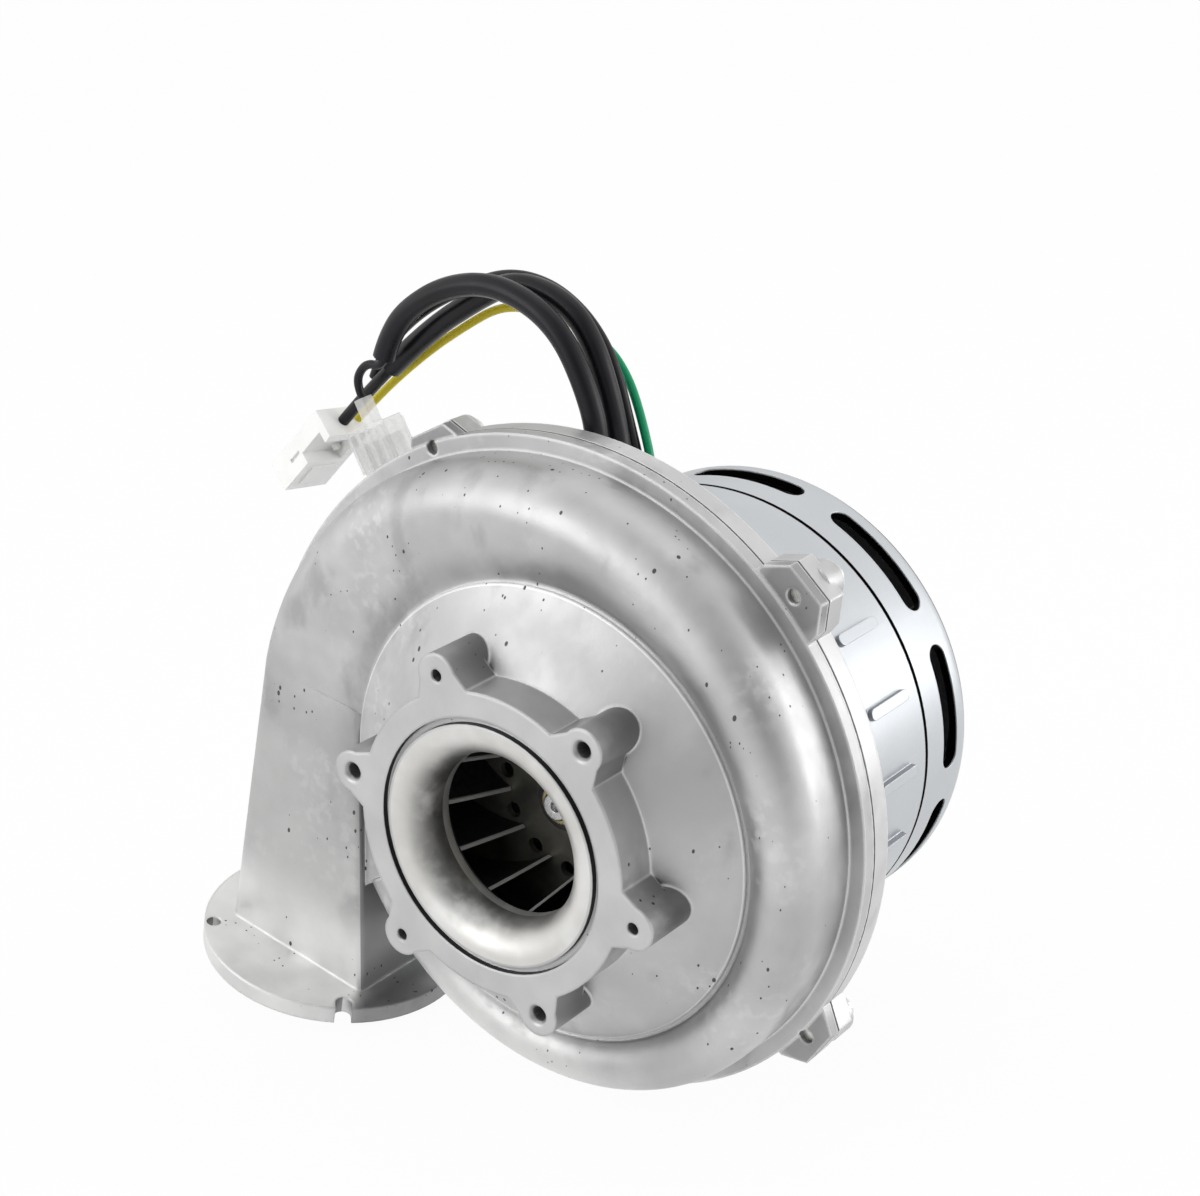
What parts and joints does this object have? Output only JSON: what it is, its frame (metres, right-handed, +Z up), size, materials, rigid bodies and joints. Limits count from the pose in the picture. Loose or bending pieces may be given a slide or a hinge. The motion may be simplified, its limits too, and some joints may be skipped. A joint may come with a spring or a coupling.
{
  "type": "boiler combustion air blower",
  "caption": "Centrifugal combustion air blower with a cast volute, a round inlet ring, a closed impeller, a downward outlet duct and an external-rotor motor in a slotted drum.",
  "frame": {"origin": "centre of the inlet ring's machined face, on the fan axis", "axes": "+Y is the way the air enters, from the inlet ring to the motor; +Z is up, and the outlet faces -Z; +X is to the right seen from the inlet"},
  "size_m": [0.2167, 0.131, 0.2108],
  "materials": {
    "cast_aluminium": "as-cast, semi-matte, with small pits",
    "drum_aluminium": "satin, fine-grained",
    "plated_steel": "zinc plated",
    "bearing_steel": "ground",
    "core_steel": "oiled laminations and pressed steel",
    "enamelled_copper": "enamelled winding wire",
    "ferrite": "sintered ferrite",
    "brass": "turned",
    "black_nylon": "moulded, satin",
    "black_rubber": "soft, matte",
    "gasket_sheet": "thin sheet",
    "board_laminate": "coated fibreglass board",
    "black_sleeving": "glossy extruded insulation",
    "earth_insulation": "green with a yellow stripe",
    "white_nylon": "moulded nylon",
    "clear_nylon": "milky translucent nylon"
  },
  "bodies": {
    "casing": {"front_housing": "cast_aluminium", "rear_plate": "cast_aluminium", "bearing_tube": "cast_aluminium", "housing_gasket": "gasket_sheet", "housing_screws": "plated_steel", "cap_screws": "plated_steel", "motor_screws": "plated_steel", "tube_screws": "plated_steel", "board_screws": "plated_steel", "motor_drum": "drum_aluminium", "motor_cap": "drum_aluminium", "front_bearing_outer": "bearing_steel", "rear_bearing_outer": "bearing_steel", "front_bearing_shields": "bearing_steel", "rear_bearing_shields": "bearing_steel", "preload_spring": "bearing_steel", "shaft_seal": "black_rubber", "cable_gland": "black_rubber", "stator_core": "core_steel", "stator_insulators": "white_nylon", "stator_coils": "enamelled_copper", "control_board": "board_laminate", "board_capacitors": "black_sleeving", "board_transistors": "black_nylon", "left_sleeve": "black_sleeving", "right_sleeve": "black_sleeving", "thin_cable": "black_sleeving", "left_tail": "black_sleeving", "right_tail": "black_sleeving", "earth_lead": "earth_insulation", "white_plug": "white_nylon", "clear_plug": "clear_nylon"},
    "rotor": {"shaft": "bearing_steel", "impeller": "black_nylon", "impeller_shroud": "black_nylon", "impeller_bush": "brass", "front_bearing_inner": "bearing_steel", "rear_bearing_inner": "bearing_steel", "rotor_bell": "core_steel", "rotor_magnets": "ferrite", "cooling_fan": "black_nylon"}
  },
  "joints": [
    {"name": "fan_rotation", "type": "hinge", "parent": "casing", "child": "rotor", "pos_m": [0, 0, 0], "axis": [0, 1, 0], "continuous": true}
  ]
}
